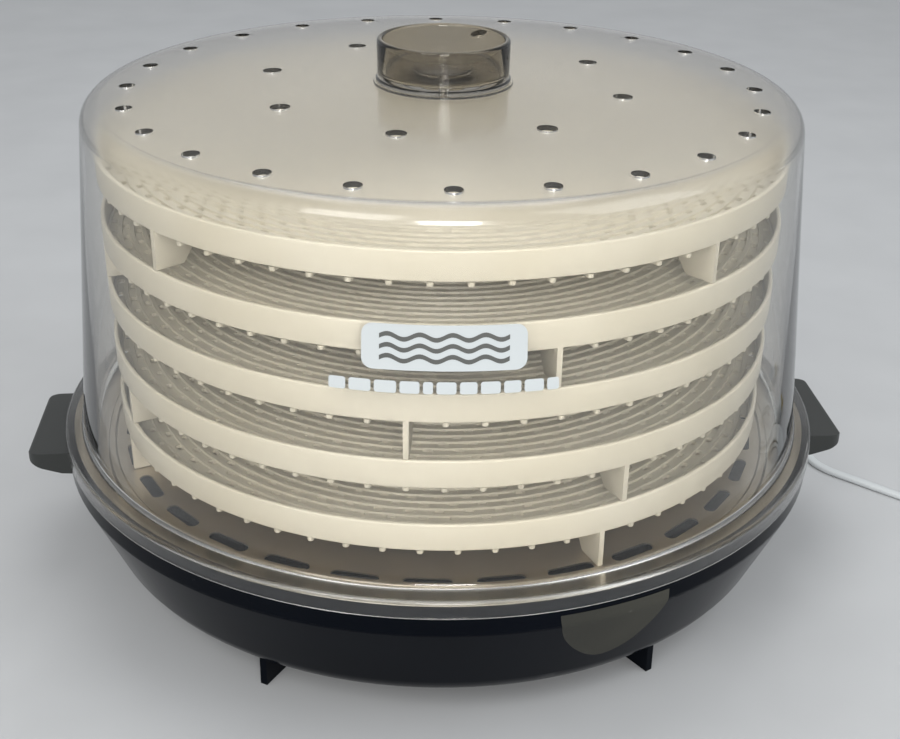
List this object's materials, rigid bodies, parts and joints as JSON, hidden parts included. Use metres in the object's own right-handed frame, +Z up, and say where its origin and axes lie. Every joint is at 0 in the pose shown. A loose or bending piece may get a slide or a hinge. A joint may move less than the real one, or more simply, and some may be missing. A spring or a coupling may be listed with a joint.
{
  "type": "food dehydrator",
  "caption": "Round stacking food dehydrator: black heated base pan with fan, slotted metal deck, perforated trays and a clear domed cover with a cup knob.",
  "frame": {"origin": "on the table under the centre of the pan, at the level of the fins' soles", "axes": "+Z up, +X to the right handle seen from the front, -Y towards the front"},
  "size_m": [0.5918, 0.3934, 0.2706],
  "materials": {
    "cover_clear": "clear, lightly smoked, polished",
    "tray_cream": "satin",
    "pan_black": "glossy",
    "handle_black": "satin",
    "deck_metal": "bright rolled sheet",
    "screw_steel": "zinc plated",
    "lamination_steel": "dull laminations",
    "copper_winding": "varnished copper",
    "zinc_steel": "zinc plated",
    "rotor_metal": "turned",
    "shaft_steel": "ground",
    "impeller_plastic": "matte",
    "heater_sheath": "heat darkened",
    "ceramic_white": "unglazed",
    "block_nylon": "matte",
    "cutout_metal": "pressed",
    "wire_sleeve": "matte",
    "cord_white": "satin",
    "plug_white": "satin",
    "blade_brass": "nickel plated"
  },
  "bodies": {
    "base": {"base_pan": "pan_black", "deck_plate": "deck_metal", "deck_screws": "screw_steel", "handle_left": "handle_black", "handle_right": "handle_black", "handle_screws": "screw_steel", "motor_stack": "lamination_steel", "motor_coil": "copper_winding", "motor_bracket_lower": "zinc_steel", "motor_bracket_upper": "zinc_steel", "motor_screws": "screw_steel", "heater_element": "heater_sheath", "heater_supports": "ceramic_white", "terminal_block": "block_nylon", "thermal_cutout": "cutout_metal", "internal_wiring": "wire_sleeve", "cord_strain_relief": "cord_white", "cord_tube": "cord_white", "cord_coil": "cord_white", "plug_body": "plug_white", "plug_blades": "blade_brass"},
    "fan": {"motor_rotor": "rotor_metal", "motor_shaft": "shaft_steel", "fan_impeller": "impeller_plastic"},
    "tray_1": {"tray_1_rim": "tray_cream", "tray_1_floor": "tray_cream", "tray_1_legs": "tray_cream"},
    "tray_2": {"tray_2_rim": "tray_cream", "tray_2_floor": "tray_cream", "tray_2_legs": "tray_cream"},
    "tray_3": {"tray_3_rim": "tray_cream", "tray_3_floor": "tray_cream", "tray_3_legs": "tray_cream"},
    "tray_4": {"tray_4_rim": "tray_cream", "tray_4_floor": "tray_cream", "tray_4_legs": "tray_cream"},
    "tray_5": {"tray_5_rim": "tray_cream", "tray_5_floor": "tray_cream", "tray_5_legs": "tray_cream"},
    "cover": {"cover_dome": "cover_clear", "cover_knob": "cover_clear", "knob_washer": "screw_steel", "knob_screw": "screw_steel"}
  },
  "joints": [
    {"name": "fan_spin", "type": "hinge", "parent": "base", "child": "fan", "pos_m": [0, 0, 0.05], "axis": [0, 0, 1], "continuous": true},
    {"name": "tray_1_lift", "type": "slide", "parent": "base", "child": "tray_1", "axis": [0, 0, 1], "range_m": [0, 0.06]},
    {"name": "tray_2_lift", "type": "slide", "parent": "tray_1", "child": "tray_2", "axis": [0, 0, 1], "range_m": [0, 0.06]},
    {"name": "tray_3_lift", "type": "slide", "parent": "tray_2", "child": "tray_3", "axis": [0, 0, 1], "range_m": [0, 0.06]},
    {"name": "tray_4_lift", "type": "slide", "parent": "tray_3", "child": "tray_4", "axis": [0, 0, 1], "range_m": [0, 0.06]},
    {"name": "tray_5_lift", "type": "slide", "parent": "tray_4", "child": "tray_5", "axis": [0, 0, 1], "range_m": [0, 0.06]},
    {"name": "cover_lift", "type": "slide", "parent": "tray_5", "child": "cover", "axis": [0, 0, 1], "range_m": [0, 0.18]}
  ]
}
